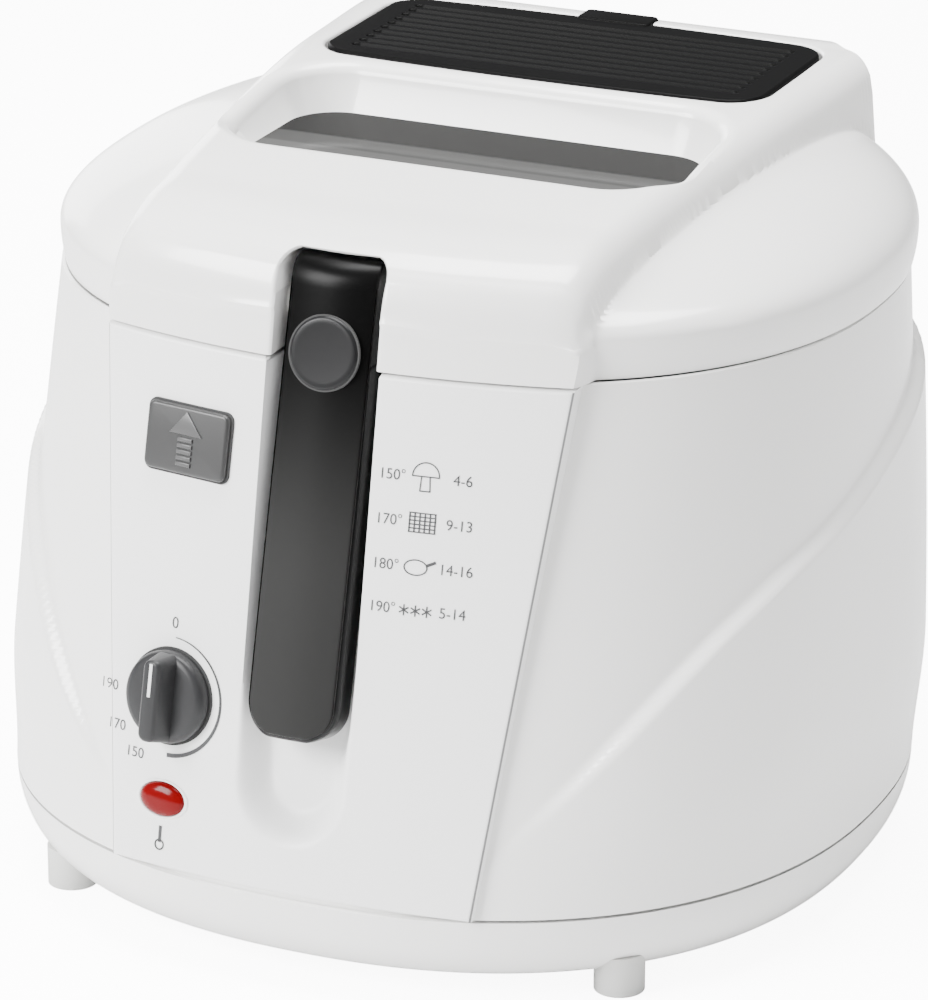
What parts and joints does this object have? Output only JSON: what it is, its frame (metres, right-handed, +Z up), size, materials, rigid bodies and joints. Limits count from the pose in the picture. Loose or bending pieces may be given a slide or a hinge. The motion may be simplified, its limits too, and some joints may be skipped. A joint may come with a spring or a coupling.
{
  "type": "deep fryer",
  "caption": "Household deep fryer with a hinged lid, viewing window, ribbed filter cover, handle that raises the basket, temperature dial and lid release button.",
  "frame": {"origin": "on the standing surface under the middle of the fryer", "axes": "+Z up, the control panel faces -Y, +X to the viewer's right when facing the panel"},
  "size_m": [0.286, 0.2798, 0.2411],
  "materials": {
    "gloss_white": "glossy moulded",
    "satin_white": "satin moulded",
    "button_grey": "satin moulded",
    "handle_satin": "silver-grey satin",
    "black_plastic": "semi-gloss moulded",
    "knob_white": "satin moulded",
    "red_lens": "clear red",
    "smoked_glass": "smoked clear",
    "dark_coating": "dark non-stick",
    "wire_steel": "bright wire",
    "plain_steel": "rolled",
    "element_steel": "heat-dulled",
    "inner_plastic": "moulded",
    "black_rubber": "matt",
    "silicone": "matt",
    "filter_mesh": "knitted mesh",
    "charcoal_foam": "open foam"
  },
  "bodies": {
    "base": {"outer_housing": "gloss_white", "front_panel": "satin_white", "base_tray": "gloss_white", "rubber_feet": "black_rubber", "base_screws": "plain_steel", "top_deck": "inner_plastic", "inner_bowl": "dark_coating", "heating_element": "element_steel", "heat_shield": "plain_steel", "shield_posts": "plain_steel", "thermal_cutout": "plain_steel", "terminal_block": "inner_plastic", "cord_inlet": "black_plastic", "hinge_barrel": "black_plastic", "hinge_towers": "black_plastic", "hinge_pins": "plain_steel", "handle_brackets": "plain_steel", "pivot_bushes": "black_plastic", "thermostat": "inner_plastic", "release_spring": "plain_steel", "latch_bracket": "plain_steel", "lamp_lens": "red_lens", "lamp_holder": "inner_plastic"},
    "lid": {"lid_shell": "gloss_white", "window_glass": "smoked_glass", "window_seal": "silicone", "lid_liner": "inner_plastic", "lid_gasket": "silicone", "filter_tray": "inner_plastic", "grease_filter": "filter_mesh", "charcoal_filter": "charcoal_foam", "lid_catch": "inner_plastic"},
    "filter_cover": {"filter_cover": "black_plastic", "filter_hinge_pins": "black_plastic"},
    "handle": {"handle_shell": "black_plastic", "handle_face": "handle_satin", "handle_pin": "plain_steel", "handle_sector": "plain_steel", "handle_button_spring": "plain_steel"},
    "lift_arm": {"lift_arm": "plain_steel", "rocker_shaft": "plain_steel"},
    "handle_button": {"handle_button": "button_grey"},
    "basket": {"frying_basket": "wire_steel", "basket_bracket": "plain_steel"},
    "knob": {"temperature_knob": "knob_white", "thermostat_shaft": "plain_steel"},
    "release_button": {"release_button": "button_grey", "latch_hook": "inner_plastic"}
  },
  "joints": [
    {"name": "lid_hinge", "type": "hinge", "parent": "base", "child": "lid", "pos_m": [0, 0.128, 0.206], "axis": [-1, 0, 0], "range_deg": [0, 80]},
    {"name": "handle_swing", "type": "hinge", "parent": "base", "child": "handle", "pos_m": [0, -0.087, 0.206], "axis": [-1, 0, 0], "range_deg": [0, 75]},
    {"name": "basket_lift", "type": "slide", "parent": "base", "child": "basket", "axis": [0, 0, 1], "range_m": [0, 0.03699]},
    {"name": "lift_arm_swing", "type": "hinge", "parent": "base", "child": "lift_arm", "pos_m": [0, -0.069, 0.206], "axis": [-1, 0, 0], "range_deg": [-75.01, 0]},
    {"name": "knob_turn", "type": "hinge", "parent": "base", "child": "knob", "pos_m": [-0.044, -0.12498, 0.084], "axis": [0.1343, 0.9718, -0.1935], "range_deg": [0, 270]},
    {"name": "release_press", "type": "slide", "parent": "base", "child": "release_button", "axis": [0.1498, 0.9696, -0.1935], "range_m": [0, 0.0035], "stiffness_N_per_m": 800},
    {"name": "handle_button_press", "type": "slide", "parent": "handle", "child": "handle_button", "axis": [0, 0.9664, -0.2571], "range_m": [0, 0.0025], "stiffness_N_per_m": 600},
    {"name": "filter_cover_hinge", "type": "hinge", "parent": "lid", "child": "filter_cover", "pos_m": [0, 0.0518, 0.2402], "axis": [1, 0, 0], "range_deg": [0, 80]}
  ],
  "couplings": [
    {"joint": "basket_lift", "follows": "handle_swing", "m_per_rad": 0.02824},
    {"joint": "lift_arm_swing", "follows": "handle_swing", "ratio": -1}
  ]
}
